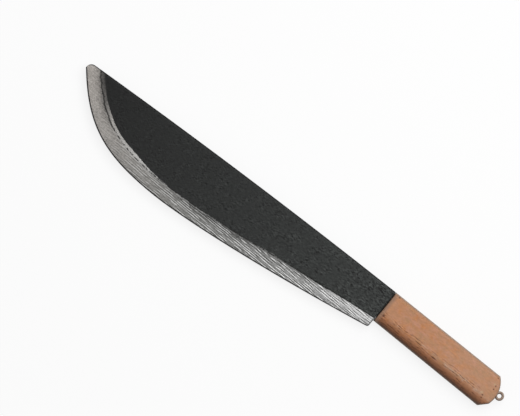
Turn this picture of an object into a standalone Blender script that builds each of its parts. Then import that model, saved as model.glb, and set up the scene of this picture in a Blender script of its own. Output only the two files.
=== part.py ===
# A costume machete lying on its rear side: two moulded blade halves that carry the tang, two handle
# scales, a hanging eye trapped at the butt, and the screws that close the handle from the rear.
import math

import bmesh
import bpy
import numpy as np
from mathutils import Vector
from mathutils.geometry import interpolate_bezier, intersect_line_sphere_2d

for old in list(bpy.data.objects):
    bpy.data.objects.remove(old)

# Sizes are in metres. In the working frame X runs along the handle towards the butt and is zero
# where the blade meets the handle, Y is zero on the handle's axis and grows towards the spine, and
# Z is zero on the parting plane and grows towards the front.

# Blade outline
BLADE_LENGTH = 0.3872
SPINE_DROP = 0.01345
SPINE_LEAN = math.radians(0.54)
TIP_ROUND = 0.006
TIP_BLUNT = 0.001
TIP_LEAN = math.radians(50.2)
BELLY_SETBACK = 0.2536
BELLY_DEPTH = 0.0597
HEEL_DEPTH = 0.0266
HEEL_LEAN = math.radians(10.7)
HEEL_ROUND = 0.002

# How far each curve of the cutting edge keeps its end's direction, as a share of its run
HEEL_REACH = 0.373
BELLY_HEEL_REACH = 0.193
BELLY_TIP_REACH = 0.475
TIP_REACH = 0.282

# Blade section
BLADE_THICKNESS = 0.009
BLADE_WALL = 0.0018
SPINE_CHAMFER = 0.0008
BEVEL_WIDTH = 0.0156
BEVEL_HEEL_WIDTH = 0.0108
BEVEL_RUNOUT = 0.110
SHOULDER_DRAFT = 0.0003
RIM_THICKNESS = 0.0024
RIM_WIDTH = 0.0013

# Where the blade or the butt narrows, rim, chamfer and bevel shrink to this share of what is left
NARROW_SHARE = 1 / 6

# Inside of the blade
TIP_SOLID = 0.040
HEEL_SOLID = 0.006
RIB_COUNT = 3
RIB_THICKNESS = 0.002
PIN_RADIUS = 0.0015
PIN_BOSS_RADIUS = 0.0035

# Handle
HANDLE_LENGTH = 0.1457
HANDLE_FRONT_WIDTH = 0.0366
HANDLE_BUTT_WIDTH = 0.0375
HANDLE_THICKNESS = 0.021
HANDLE_WALL = 0.002
BUTT_CROWN = 0.0095
BUTT_OFFSET = 0.0018
BUTT_CORNER = 0.0105
BUTT_FILLET = 0.002
FRONT_CHAMFER = 0.0012
SPINE_FILLET = 0.003
GRIP_ROUND_WIDTH = 0.0125
GRIP_ROUND_HEIGHT = 0.008
LEAST_FILLET = 0.001
LEAST_SIDE = 0.0008

# Hanging eye
EYE_HOLE_RADIUS = 0.0022
EYE_OUTER_RADIUS = 0.0049
EYE_OFFSET = 0.0026
EYE_STEM_LENGTH = 0.012
EYE_BAR_WIDTH = 0.014
EYE_BAR_LENGTH = 0.004
EYE_EDGE_ROUND = 0.0006
EYE_EDGE_ANGLE = math.radians(60)

# Handle screws
SCREW_NAMES = ("front", "middle", "butt")
SCREW_RADIUS = 0.0015
SCREW_POINT = 0.002
SCREW_HEAD_RADIUS = 0.0029
SCREW_HEAD_HEIGHT = 0.002
SCREW_HEAD_ROUND = 0.0007
SCREW_RECESS_DEPTH = 0.004
SCREW_BOSS_RADIUS = 0.0052
SCREW_FRONT_ROOM = 0.022
SCREW_BAR_ROOM = 0.009
DRIVER_SLOT_LENGTH = 0.0034
DRIVER_SLOT_WIDTH = 0.0008
DRIVER_SLOT_DEPTH = 0.0012

# Clearances
PARTING_GAP = 0.0003
SEAT_GAP = 0.0003
PIN_CLEARANCE = 0.0003
SCREW_CLEARANCE = 0.0003
EYE_CLEARANCE = 0.0003
CUT_OVERRUN = 0.001

# Mesh fineness
BLADE_STEPS = 44
TIP_CROWDING = 1.8
EDGE_STEPS = 120
POCKET_STEPS = 9
ROUND_STEPS = 5
GRIP_STEPS = 9
BUTT_STEPS = 8
CIRCLE_STEPS = 28
EYE_EDGE_STEPS = 2
TANG_FLAT_STEPS = 4
SMOOTH_ANGLE = math.radians(40)
STATION_DIGITS = 6
WELD = 0.00001
FLATNESS = math.radians(0.01)

# Heights above the parting plane
part_z = PARTING_GAP / 2
rim_z = RIM_THICKNESS / 2
blade_z = BLADE_THICKNESS / 2
pocket_z = blade_z - BLADE_WALL
seat_z = rim_z + SEAT_GAP
handle_z = HANDLE_THICKNESS / 2
handle_pocket_z = handle_z - HANDLE_WALL
head_seat_z = handle_z - SCREW_RECESS_DEPTH

# The butt is an arc, set off towards the cutting edge, where a straight chamfer cuts its corner.
butt_start_x = HANDLE_LENGTH - BUTT_CROWN
butt_rise = HANDLE_BUTT_WIDTH / 2 + BUTT_OFFSET
butt_radius = (butt_rise**2 + BUTT_CROWN**2) / (2 * BUTT_CROWN)
butt_centre_x = HANDLE_LENGTH - butt_radius
butt_corner_x = butt_centre_x + math.sqrt(butt_radius**2 - (BUTT_CORNER - BUTT_OFFSET) ** 2)
chamfer_slope = (HANDLE_BUTT_WIDTH / 2 - BUTT_CORNER) / (butt_corner_x - butt_start_x)
chamfer_stretch = math.hypot(1, chamfer_slope)

# The eye's hole just clears the butt, and its cross bar lies between the tang's two horns.
eye_x = HANDLE_LENGTH + EYE_HOLE_RADIUS
eye_bar_x = eye_x - EYE_STEM_LENGTH - EYE_BAR_LENGTH
last_screw_x = eye_bar_x - SCREW_BAR_ROOM
screw_places = [(float(x), 0) for x in np.linspace(SCREW_FRONT_ROOM, last_screw_x, len(SCREW_NAMES))]


# How far a rounded corner falls away from its flat, at a distance into the round.
def round_fall(radius, into):
    return radius - math.sqrt(max(radius**2 - max(into, 0) ** 2, 0))


# Spine of the blade before its tip is rounded, a gentle bow that starts almost in line with the handle.
def spine_line(x):
    lean = math.tan(SPINE_LEAN)
    bow = (SPINE_DROP - lean * BLADE_LENGTH) * (x / BLADE_LENGTH) ** 2
    return HANDLE_FRONT_WIDTH / 2 + lean * x - bow


def spine_y(x):
    return spine_line(x) - round_fall(TIP_ROUND, TIP_ROUND - BLADE_LENGTH - x)


# Cutting edge: one curve from the heel down to the belly, and one from there up to the tip.
def edge_curve():
    heel = Vector((0, -HEEL_DEPTH))
    belly = Vector((-BELLY_SETBACK, -BELLY_DEPTH))
    tip = Vector((-BLADE_LENGTH, spine_line(-BLADE_LENGTH) - TIP_ROUND - TIP_BLUNT))
    heel_run = BELLY_SETBACK
    tip_run = BLADE_LENGTH - BELLY_SETBACK
    leave_heel = heel + HEEL_REACH * heel_run * Vector((-1, -math.tan(HEEL_LEAN)))
    reach_belly = belly + Vector((BELLY_HEEL_REACH * heel_run, 0))
    leave_belly = belly - Vector((BELLY_TIP_REACH * tip_run, 0))
    reach_tip = tip + TIP_REACH * tip_run * Vector((1, -math.tan(TIP_LEAN)))
    points = interpolate_bezier(heel, leave_heel, reach_belly, belly, EDGE_STEPS)
    points += interpolate_bezier(belly, leave_belly, reach_tip, tip, EDGE_STEPS)[1:]
    return np.array(points)[::-1]


edge = edge_curve()
edge_slope = np.gradient(edge[:, 1], edge[:, 0])


def edge_y(x):
    return float(np.interp(x, edge[:, 0], edge[:, 1])) + round_fall(HEEL_ROUND, x + HEEL_ROUND)


# A width measured square to the cutting edge is this much longer along Y.
def edge_stretch(x):
    return math.hypot(1, float(np.interp(x, edge[:, 0], edge_slope)))


def bevel_width(x):
    short = max(1 + x / BEVEL_RUNOUT, 0)
    return BEVEL_WIDTH - (BEVEL_WIDTH - BEVEL_HEEL_WIDTH) * short**2


# How far the handle's straight sides and the butt's chamfer lie from the axis, drawn in by the inset.
def handle_side(x, inset):
    share = x / butt_start_x
    return (HANDLE_FRONT_WIDTH + (HANDLE_BUTT_WIDTH - HANDLE_FRONT_WIDTH) * share) / 2 - inset


def chamfer_side(x, inset):
    return HANDLE_BUTT_WIDTH / 2 - chamfer_slope * (x - butt_start_x) - chamfer_stretch * inset


# Where the handle's outline lies on the spine side and on the edge side.
def handle_limits(x, inset):
    past_centre = max(x - butt_centre_x, 0)
    arc = math.sqrt(max((butt_radius - inset) ** 2 - past_centre**2, 0))
    side = handle_side(x, inset)
    return min(side, arc - BUTT_OFFSET), -min(side, arc + BUTT_OFFSET, chamfer_side(x, inset))


# How far a point of the handle lies inside the butt's outline.
def butt_depth(x, y, inset):
    from_arc = butt_radius - inset - math.hypot(max(x - butt_centre_x, 0), y + BUTT_OFFSET)
    return min(from_arc, (chamfer_side(x, inset) + y) / chamfer_stretch)


# Stations round the butt: the ends of its chamfer, and steps along its arc to a short flat at the crown.
def butt_stations(inset):
    radius = butt_radius - inset
    corner = math.asin((butt_rise - inset) / radius)
    turns = [corner * (1 - i / BUTT_STEPS) for i in range(BUTT_STEPS)]
    turns.append(corner / (2 * BUTT_STEPS))
    stations = [butt_centre_x + radius * math.cos(turn) for turn in turns]
    stations.append(butt_start_x - inset * (chamfer_stretch - 1) / chamfer_slope)
    line = [Vector((x, -chamfer_side(x, inset))) for x in (butt_start_x, butt_corner_x)]
    centre = Vector((butt_centre_x, -BUTT_OFFSET))
    stations.append(max(point.x for point in intersect_line_sphere_2d(*line, centre, radius, False)))
    return sorted({round(x, STATION_DIGITS) for x in stations})


# One section across a blade half: parting face, rim, spine shoulder, flat, bevel and rim again.
# Where the blade narrows to its tip the flat runs out and the section gets lower.
def blade_ring(x):
    top = spine_y(x)
    low = edge_y(x)
    least = (top - low) * NARROW_SHARE
    stretch = edge_stretch(x)
    spine_rim = top - min(RIM_WIDTH, least)
    edge_rim = low + min(RIM_WIDTH * stretch, least)
    shoulder = spine_rim - min(SPINE_CHAMFER, least)
    full_crease = low + bevel_width(x) * stretch
    crease = min(full_crease, shoulder - least)
    rise = min((crease - edge_rim) / (full_crease - edge_rim), 1)
    height = rim_z + (blade_z - rim_z) * rise
    return [
        (x, top, part_z),
        (x, top, rim_z),
        (x, spine_rim, rim_z),
        (x, shoulder, height),
        (x, crease, height),
        (x, edge_rim, rim_z),
        (x, low, rim_z),
        (x, low, part_z),
    ]


# One section across a tang half, with as many corners as the blade's.
def tang_ring(x):
    top, low = handle_limits(x, 0)
    ledge = min(RIM_WIDTH, (top - low) * NARROW_SHARE)
    flat = [(x, float(y), rim_z) for y in np.linspace(top - ledge, low + ledge, TANG_FLAT_STEPS)]
    return [(x, top, part_z), (x, top, rim_z), *flat, (x, low, rim_z), (x, low, part_z)]


def blade_half_rings():
    stations = [-BLADE_LENGTH * (1 - (i / BLADE_STEPS) ** TIP_CROWDING) for i in range(BLADE_STEPS)]
    stations = [x for x in stations if x < -HEEL_ROUND]
    turns = [math.pi / 2 * i / ROUND_STEPS for i in range(ROUND_STEPS + 1)]
    stations += [HEEL_ROUND * (math.sin(turn) - 1) for turn in turns]
    tang_stations = [SHOULDER_DRAFT] + butt_stations(0)
    return [blade_ring(x) for x in stations] + [tang_ring(x) for x in tang_stations]


# One section of the hollow behind the blade's face, open past the parting plane.
def pocket_ring(x):
    low = edge_y(x)
    stretch = edge_stretch(x)
    edge_rim = low + RIM_WIDTH * stretch
    crease = low + bevel_width(x) * stretch
    slope = (blade_z - rim_z) / (crease - edge_rim)
    wall_run = BLADE_WALL * math.hypot(1, slope) / slope
    roof_edge = edge_rim + (pocket_z - rim_z) / slope + wall_run
    mouth_edge = roof_edge - (pocket_z + CUT_OVERRUN) / slope
    spine_side = spine_y(x) - RIM_WIDTH - BLADE_WALL
    return [
        (x, spine_side, -CUT_OVERRUN),
        (x, spine_side - SPINE_CHAMFER, pocket_z),
        (x, roof_edge, pocket_z),
        (x, mouth_edge, -CUT_OVERRUN),
    ]


# Each rib carries a locating pin halfway between the bevel's crease and the spine.
def pin_place(x):
    crease = edge_y(x) + bevel_width(x) * edge_stretch(x)
    return x, (crease + spine_y(x)) / 2


pocket_ends = np.linspace(TIP_SOLID - BLADE_LENGTH, -HEEL_SOLID, RIB_COUNT + 2)
pin_places = [pin_place(float(x)) for x in pocket_ends[1:-1]]


# Height of a scale's face or of its hollow: small rounds to spine and butt, large round to the edge.
def face_z(x, y, inset, wall, roof):
    side = handle_side(x, inset)
    grip_width = GRIP_ROUND_WIDTH - wall
    grip_height = min(GRIP_ROUND_HEIGHT, roof + wall - seat_z - LEAST_SIDE) - wall
    face = roof - grip_height / grip_width * round_fall(grip_width, grip_width - side - y)
    spine_fillet = max(SPINE_FILLET - wall, LEAST_FILLET)
    butt_fillet = min(max(BUTT_FILLET - wall, LEAST_FILLET), face - seat_z - LEAST_SIDE)
    spine_fall = round_fall(spine_fillet, spine_fillet - side + y)
    butt_fall = round_fall(butt_fillet, butt_fillet - butt_depth(x, y, inset))
    return face - max(spine_fall, butt_fall)


# One section across a scale or its hollow, with its corners close together in the rounds.
def scale_ring(x, inset, wall, floor, roof):
    top, low = handle_limits(x, inset)
    spine_run = min(max(SPINE_FILLET - wall, LEAST_FILLET), (top - low) / 4)
    grip_run = min(GRIP_ROUND_WIDTH - wall, (top - low) / 2)
    spine_turns = np.linspace(0, math.pi / 2, ROUND_STEPS + 1)
    grip_turns = np.linspace(math.pi / 2, 0, GRIP_STEPS + 1)
    across = [top - spine_run * (1 - math.cos(turn)) for turn in spine_turns]
    across += [low + grip_run * (1 - math.cos(turn)) for turn in grip_turns]
    face = [(x, y, face_z(x, y, inset, wall, roof)) for y in across]
    return [(x, top, floor), *face, (x, low, floor)]


def scale_rings(wall, floor):
    inset = RIM_WIDTH + wall
    front = SHOULDER_DRAFT + SEAT_GAP + wall
    roof = handle_z - wall
    rings = [scale_ring(front, inset, wall, floor, roof - FRONT_CHAMFER)]
    for x in [front + FRONT_CHAMFER] + butt_stations(inset):
        rings.append(scale_ring(x, inset, wall, floor, roof))
    return rings


def add_loft(bm, rings, side):
    loops = [[bm.verts.new((x, y, side * z)) for x, y, z in ring] for ring in rings]
    faces = [bm.faces.new(loops[0]), bm.faces.new(loops[-1])]
    for first, second in zip(loops, loops[1:]):
        for i in range(len(first)):
            faces.append(bm.faces.new((first[i - 1], first[i], second[i], second[i - 1])))
    bmesh.ops.recalc_face_normals(bm, faces=faces)


def finish_mesh(name, bm):
    bmesh.ops.remove_doubles(bm, verts=bm.verts, dist=WELD)
    bmesh.ops.connect_verts_nonplanar(bm, angle_limit=FLATNESS, faces=bm.faces)
    bmesh.ops.recalc_face_normals(bm, faces=bm.faces)
    mesh = bpy.data.meshes.new(name)
    bm.to_mesh(mesh)
    bm.free()
    return mesh


def loft_mesh(name, ring_groups, side):
    bm = bmesh.new()
    for rings in ring_groups:
        add_loft(bm, rings, side)
    return finish_mesh(name, bm)


# Upright round bars of one radius at several places.
def bars_mesh(name, places, radius, low, high):
    bm = bmesh.new()
    for x, y in places:
        bar = bmesh.ops.create_cone(
            bm, cap_ends=True, segments=CIRCLE_STEPS, radius1=radius, radius2=radius, depth=high - low
        )
        bmesh.ops.translate(bm, verts=bar["verts"], vec=(x, y, (low + high) / 2))
    return finish_mesh(name, bm)


# A flat plate with its middle on the parting plane, from closed outlines of which the inner are holes.
def plate_mesh(name, outlines, half_thickness):
    curve = bpy.data.curves.new(name, "CURVE")
    curve.dimensions = "2D"
    curve.fill_mode = "BOTH"
    curve.extrude = half_thickness
    for outline in outlines:
        spline = curve.splines.new("POLY")
        spline.points.add(len(outline) - 1)
        spline.use_cyclic_u = True
        for point, (x, y) in zip(spline.points, outline):
            point.co = (x, y, 0, 1)
    guide = bpy.data.objects.new(name, curve)
    bpy.context.scene.collection.objects.link(guide)
    bpy.context.view_layer.update()
    flat = bpy.data.meshes.new_from_object(guide.evaluated_get(bpy.context.evaluated_depsgraph_get()))
    bpy.data.objects.remove(guide)
    bm = bmesh.new()
    bm.from_mesh(flat)
    bpy.data.meshes.remove(flat)
    return finish_mesh(name, bm)


def circle(x, y, radius):
    turns = [2 * math.pi * i / CIRCLE_STEPS for i in range(CIRCLE_STEPS)]
    return [(x + radius * math.cos(turn), y + radius * math.sin(turn)) for turn in turns]


# Ring, stem and cross bar of the hanging eye, grown by the clearance on all sides.
def eye_outline(clearance):
    ring = EYE_OUTER_RADIUS + clearance
    stem = (EYE_OUTER_RADIUS + EYE_HOLE_RADIUS) / 2 + clearance
    bar = EYE_BAR_WIDTH / 2 + clearance
    bar_front = eye_bar_x - clearance
    bar_back = eye_bar_x + EYE_BAR_LENGTH + clearance
    meet = math.pi - math.asin(stem / ring)
    outline = [(bar_back, -stem), (bar_back, -bar), (bar_front, -bar)]
    outline += [(bar_front, bar), (bar_back, bar), (bar_back, stem)]
    for i in range(CIRCLE_STEPS + 1):
        turn = meet * (1 - 2 * i / CIRCLE_STEPS)
        outline.append((eye_x + ring * math.cos(turn), ring * math.sin(turn)))
    return [(x, y + EYE_OFFSET) for x, y in outline]


def make_material(name, colour, roughness, metallic):
    material = bpy.data.materials.new(name)
    material.use_nodes = True
    material.diffuse_color = (*colour, 1)
    shader = material.node_tree.nodes["Principled BSDF"]
    shader.inputs["Base Color"].default_value = (*colour, 1)
    shader.inputs["Roughness"].default_value = roughness
    shader.inputs["Metallic"].default_value = metallic
    return material


def add_part(name, mesh, material):
    mesh.materials.append(material)
    part = bpy.data.objects.new(name, mesh)
    part.parent = frame
    parts.objects.link(part)
    return part


def add_cutter(mesh):
    cutter = bpy.data.objects.new(mesh.name, mesh)
    cutter.parent = frame
    cutter.hide_render = True
    cutter.display_type = "WIRE"
    cutters.objects.link(cutter)
    return cutter


def combine(part, operation, other):
    modifier = part.modifiers.new(other.name, "BOOLEAN")
    modifier.operation = operation
    modifier.solver = "EXACT"
    modifier.object = other


def smooth(part):
    part.data.shade_smooth()
    part.data.set_sharp_from_angle(angle=SMOOTH_ANGLE)


# Blade half with its tang. Rib bosses stop short of the parting plane so that only the rims meet.
def make_blade_half(name, side, material, tang_cuts):
    half = add_part(name, loft_mesh(name, [blade_half_rings()], side), material)
    for cutter in tang_cuts:
        combine(half, "DIFFERENCE", cutter)
    pockets = []
    for i, (start, end) in enumerate(zip(pocket_ends, pocket_ends[1:])):
        tip_rib = RIB_THICKNESS / 2 if i else 0
        heel_rib = RIB_THICKNESS / 2 if i < RIB_COUNT else 0
        stations = np.linspace(start + tip_rib, end - heel_rib, POCKET_STEPS)
        pockets.append([pocket_ring(float(x)) for x in stations])
    combine(half, "DIFFERENCE", add_cutter(loft_mesh(name + "_pockets", pockets, side)))
    low, high = sorted((side * (part_z + PARTING_GAP), side * (pocket_z + BLADE_WALL / 2)))
    bosses = bars_mesh(name + "_pin_bosses", pin_places, PIN_BOSS_RADIUS, low, high)
    combine(half, "UNION", add_cutter(bosses))
    return half


def make_blade(material):
    hole_radius = SCREW_RADIUS + SCREW_CLEARANCE
    holes = add_cutter(bars_mesh("tang_holes", screw_places, hole_radius, -seat_z, seat_z))
    notch = add_cutter(plate_mesh("eye_notch", [eye_outline(EYE_CLEARANCE)], rim_z + CUT_OVERRUN))
    front = make_blade_half("blade_shell_front", 1, material, (holes, notch))
    rear = make_blade_half("blade_shell_rear", -1, material, (holes, notch))
    pins = bars_mesh("locating_pins", pin_places, PIN_RADIUS, PIN_CLEARANCE - pocket_z, pocket_z)
    combine(front, "UNION", add_cutter(pins))
    socket_radius = PIN_RADIUS + PIN_CLEARANCE
    sockets = bars_mesh("locating_sockets", pin_places, socket_radius, -pocket_z, CUT_OVERRUN)
    combine(rear, "DIFFERENCE", add_cutter(sockets))


# Handle scale, hollow towards the tang, with a boss for each screw.
def make_scale(name, side, material):
    scale = add_part(name, loft_mesh(name, [scale_rings(0, seat_z)], side), material)
    smooth(scale)
    hollow = loft_mesh(name + "_hollow", [scale_rings(HANDLE_WALL, seat_z - CUT_OVERRUN)], side)
    combine(scale, "DIFFERENCE", add_cutter(hollow))
    low, high = sorted((side * seat_z, side * (handle_z - HANDLE_WALL / 2)))
    bosses = bars_mesh(name + "_bosses", screw_places, SCREW_BOSS_RADIUS, low, high)
    combine(scale, "UNION", add_cutter(bosses))
    return scale


def make_handle(material):
    front = make_scale("handle_scale_front", 1, material)
    rear = make_scale("handle_scale_rear", -1, material)
    hole_radius = SCREW_RADIUS + SCREW_CLEARANCE
    pilots = bars_mesh("pilot_holes", screw_places, hole_radius, seat_z - CUT_OVERRUN, handle_pocket_z)
    combine(front, "DIFFERENCE", add_cutter(pilots))
    through = bars_mesh("screw_holes", screw_places, hole_radius, -handle_z, CUT_OVERRUN - seat_z)
    combine(rear, "DIFFERENCE", add_cutter(through))
    recess_radius = SCREW_HEAD_RADIUS + SCREW_CLEARANCE
    recess_low = -handle_z - CUT_OVERRUN
    recesses = bars_mesh("head_recesses", screw_places, recess_radius, recess_low, -head_seat_z)
    combine(rear, "DIFFERENCE", add_cutter(recesses))


def make_eye(material):
    outlines = [eye_outline(0), circle(eye_x, EYE_OFFSET, EYE_HOLE_RADIUS)]
    eye = add_part("hang_eye", plate_mesh("hang_eye", outlines, rim_z), material)
    rounding = eye.modifiers.new("edge_round", "BEVEL")
    rounding.width = EYE_EDGE_ROUND
    rounding.segments = EYE_EDGE_STEPS
    rounding.limit_method = "ANGLE"
    rounding.angle_limit = EYE_EDGE_ANGLE
    smooth(eye)


# One pan-head screw: its head hangs below the bearing face, and its point is up in the front boss.
def screw_mesh():
    bearing = -head_seat_z - SCREW_CLEARANCE
    tip = handle_pocket_z - SCREW_CLEARANCE
    head_low = bearing - SCREW_HEAD_HEIGHT
    profile = [(0, tip), (SCREW_RADIUS, tip - SCREW_POINT), (SCREW_RADIUS, bearing)]
    profile.append((SCREW_HEAD_RADIUS, bearing))
    for i in range(ROUND_STEPS + 1):
        turn = math.pi / 2 * i / ROUND_STEPS
        radius = SCREW_HEAD_RADIUS - SCREW_HEAD_ROUND * (1 - math.cos(turn))
        profile.append((radius, head_low + SCREW_HEAD_ROUND * (1 - math.sin(turn))))
    profile.append((0, head_low))
    bm = bmesh.new()
    corners = [bm.verts.new((x, 0, z)) for x, z in profile]
    for first, second in zip(corners, corners[1:]):
        bm.edges.new((first, second))
    turned = bpy.data.meshes.new("screw_profile")
    bm.to_mesh(turned)
    bm.free()
    blank = add_cutter(turned)
    turning = blank.modifiers.new("turning", "SCREW")
    turning.steps = turning.render_steps = CIRCLE_STEPS
    turning.use_merge_vertices = True
    turning.merge_threshold = WELD
    for name, lengths in (
        ("driver_slot_x", (DRIVER_SLOT_LENGTH, DRIVER_SLOT_WIDTH)),
        ("driver_slot_y", (DRIVER_SLOT_WIDTH, DRIVER_SLOT_LENGTH)),
    ):
        bm = bmesh.new()
        slot = bmesh.ops.create_cube(bm, size=1)
        bmesh.ops.scale(bm, verts=slot["verts"], vec=(*lengths, DRIVER_SLOT_DEPTH * 2))
        bmesh.ops.translate(bm, verts=slot["verts"], vec=(0, 0, head_low))
        combine(blank, "DIFFERENCE", add_cutter(finish_mesh(name, bm)))
    bpy.context.view_layer.update()
    whole = bpy.data.meshes.new_from_object(blank.evaluated_get(bpy.context.evaluated_depsgraph_get()))
    whole.name = "handle_screw"
    bpy.data.objects.remove(blank)
    return whole


def make_screws(material):
    mesh = screw_mesh()
    for name, place in zip(SCREW_NAMES, screw_places):
        screw = add_part("handle_screw_" + name, mesh.copy(), material)
        screw.location = (*place, 0)
        smooth(screw)


parts = bpy.data.collections.new("machete")
cutters = bpy.data.collections.new("machete_cutters")
bpy.context.scene.collection.children.link(parts)
bpy.context.scene.collection.children.link(cutters)

# The frame puts the origin under the middle of the object's box, on the surface that it lies on.
frame = bpy.data.objects.new("machete_frame", None)
parts.objects.link(frame)
eye_end = eye_x + EYE_OUTER_RADIUS
top_y = max(HANDLE_FRONT_WIDTH, HANDLE_BUTT_WIDTH) / 2
low_y = float(edge[:, 1].min())
frame.location = ((BLADE_LENGTH - eye_end) / 2, -(top_y + low_y) / 2, handle_z)

make_blade(make_material("blade_plastic", (0.034, 0.035, 0.035), 0.6, 0))
make_handle(make_material("handle_plastic", (0.46, 0.24, 0.135), 0.6, 0))
make_eye(make_material("eye_plastic", (0.39, 0.3, 0.25), 0.55, 0))
make_screws(make_material("screw_steel", (0.55, 0.55, 0.55), 0.35, 1))
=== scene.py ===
import math

import bmesh
import bpy
import numpy as np
from mathutils import Matrix, Vector, geometry, noise


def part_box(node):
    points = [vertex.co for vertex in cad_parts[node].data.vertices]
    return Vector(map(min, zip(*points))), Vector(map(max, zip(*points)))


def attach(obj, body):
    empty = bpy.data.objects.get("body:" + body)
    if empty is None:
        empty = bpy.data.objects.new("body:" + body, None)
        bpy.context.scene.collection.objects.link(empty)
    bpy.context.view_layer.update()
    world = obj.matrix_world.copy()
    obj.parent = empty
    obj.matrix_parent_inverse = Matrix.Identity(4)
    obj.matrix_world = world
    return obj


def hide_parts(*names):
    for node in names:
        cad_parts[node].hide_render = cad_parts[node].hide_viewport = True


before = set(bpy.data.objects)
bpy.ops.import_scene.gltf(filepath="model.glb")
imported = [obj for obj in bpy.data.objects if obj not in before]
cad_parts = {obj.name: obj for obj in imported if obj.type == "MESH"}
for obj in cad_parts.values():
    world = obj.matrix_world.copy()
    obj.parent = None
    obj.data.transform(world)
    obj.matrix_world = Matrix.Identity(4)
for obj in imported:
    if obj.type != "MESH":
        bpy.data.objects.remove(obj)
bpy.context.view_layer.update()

scene = bpy.context.scene
scene.view_settings.view_transform = "Standard"

# places on the solids that everything below is set out from
scaleLow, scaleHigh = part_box("handle_scale_front")
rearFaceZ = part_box("handle_scale_rear")[0].z
shellLow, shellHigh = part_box("blade_shell_front")
eyeLow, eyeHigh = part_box("hang_eye")
seam = {
    "shoulderGap": 0.0006,  # blade's end to the front of the scales
    "halfGap": 0.00015,  # parting plane to either half
    "rimHeight": 0.0012,  # parting plane to the top of the rim
    "rimWidth": 0.0012,
    "halfBlade": 0.0045,  # parting plane to the blade's face
    "tolerance": 0.00001,  # points closer than this count as level
}
tipX = shellLow.x
heelX = scaleLow.x - seam["shoulderGap"]
buttX = shellHigh.x
axisY = (scaleLow.y + scaleHigh.y) / 2
eyeY = (eyeLow.y + eyeHigh.y) / 2
partZ = (eyeLow.z + eyeHigh.z) / 2
roofHeight = scaleHigh.z - partZ
seatHeight = scaleLow.z - partZ


# sums

def srgb(red, green, blue):
    parts = [c / 255 for c in (red, green, blue)]
    return tuple(c / 12.92 if c < 0.04045 else ((c + 0.055) / 1.055) ** 2.4 for c in parts)


def roundFall(radius, into):  # drop of a rounded corner, that far into the round
    reach = np.clip(into, 0, radius)
    return radius - np.sqrt(radius**2 - reach**2)


def smoothStep(value, low, high):
    share = np.clip((value - low) / (high - low), 0, 1)
    return share * share * (3 - 2 * share)


def smoothLine(xs, ys):  # a curve through the points with no kinks
    slopes = np.gradient(ys, xs)

    def at(x):
        i = np.clip(np.searchsorted(xs, x) - 1, 0, len(xs) - 2)
        step = xs[i + 1] - xs[i]
        t = (x - xs[i]) / step
        start = ys[i] * (1 + 2 * t) * (1 - t) ** 2 + slopes[i] * step * t * (1 - t) ** 2
        end = ys[i + 1] * t**2 * (3 - 2 * t) + slopes[i + 1] * step * t**2 * (t - 1)
        return start + end

    return at


def grain(x, y, seed, looks):  # wavy lines along X that come and go, from -1 to 1
    length = looks["length"]
    pitch = looks["pitch"]

    def drift(perLength, lines, layer):  # slow noise, over that many lines
        return noise.noise(Vector((perLength * x / length, y / (lines * pitch), seed + layer)))

    sway = drift(1, 6, 0) + 0.3 * drift(4, 2, 9)
    fade = drift(looks["breaks"], 1.5, 31)
    wave = math.sin(2 * math.pi * (y / pitch + looks["sway"] * sway))
    finer = math.sin(2 * math.pi * (looks["finer"] * y / pitch - looks["sway"] * fade))
    wave = (wave + looks["second"] * finer) / (1 + 0.5 * looks["second"])
    return min(1, max(-1, wave)) * min(1, max(0.1, looks["steady"] + 1.3 * fade))


# meshes

def gridOf(columns, rows):  # flat sheet of that many points each way, with each point's column and row
    bm = bmesh.new()
    guide = bm.verts.layers.float_vector.new("guide")
    bmesh.ops.create_grid(bm, x_segments=columns - 1, y_segments=rows - 1, size=1)
    spots = {}
    for v in bm.verts:
        spots[v] = (round((v.co.x + 1) / 2 * (columns - 1)), round((v.co.y + 1) / 2 * (rows - 1)))
    return bm, guide, spots


def vertsOf(geom):
    return [g for g in geom if isinstance(g, bmesh.types.BMVert)]


def borderOf(bm):
    return [e for e in bm.edges if e.is_boundary]


def closeDown(bm, height):  # walls from the open border to a flat bottom at that height
    walls = bmesh.ops.extrude_edge_only(bm, edges=borderOf(bm))["geom"]
    for v in vertsOf(walls):
        v.co.z = height
    bmesh.ops.edgeloop_fill(bm, edges=borderOf(bm))


def raisePlate(bm, outline, z, height):  # plate of that outline, from z up or down by the height
    base = bm.faces.new([bm.verts.new((x, y, z)) for x, y in outline])
    raised = bmesh.ops.extrude_face_region(bm, geom=[base], use_keep_orig=True)["geom"]
    bmesh.ops.translate(bm, verts=vertsOf(raised), vec=(0, 0, height))
    return base, raised


def roundEdges(bm, edges, width, steps):
    bmesh.ops.bevel(
        bm, geom=edges, offset=width, affect="EDGES", segments=steps, profile=0.5, material=-1
    )


def finishPiece(name, bm, paint, node, sharpAngle):
    bmesh.ops.recalc_face_normals(bm, faces=bm.faces)
    mesh = bpy.data.meshes.new(name)
    bm.to_mesh(mesh)
    bm.free()
    mesh.shade_smooth()
    mesh.set_sharp_from_angle(angle=math.radians(sharpAngle))
    mesh.materials.append(paint)
    piece = bpy.data.objects.new(name, mesh)
    scene.collection.objects.link(piece)
    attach(piece, "root")
    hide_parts(node)
    print("made", name, len(mesh.polygons), "faces")


# paints

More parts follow.
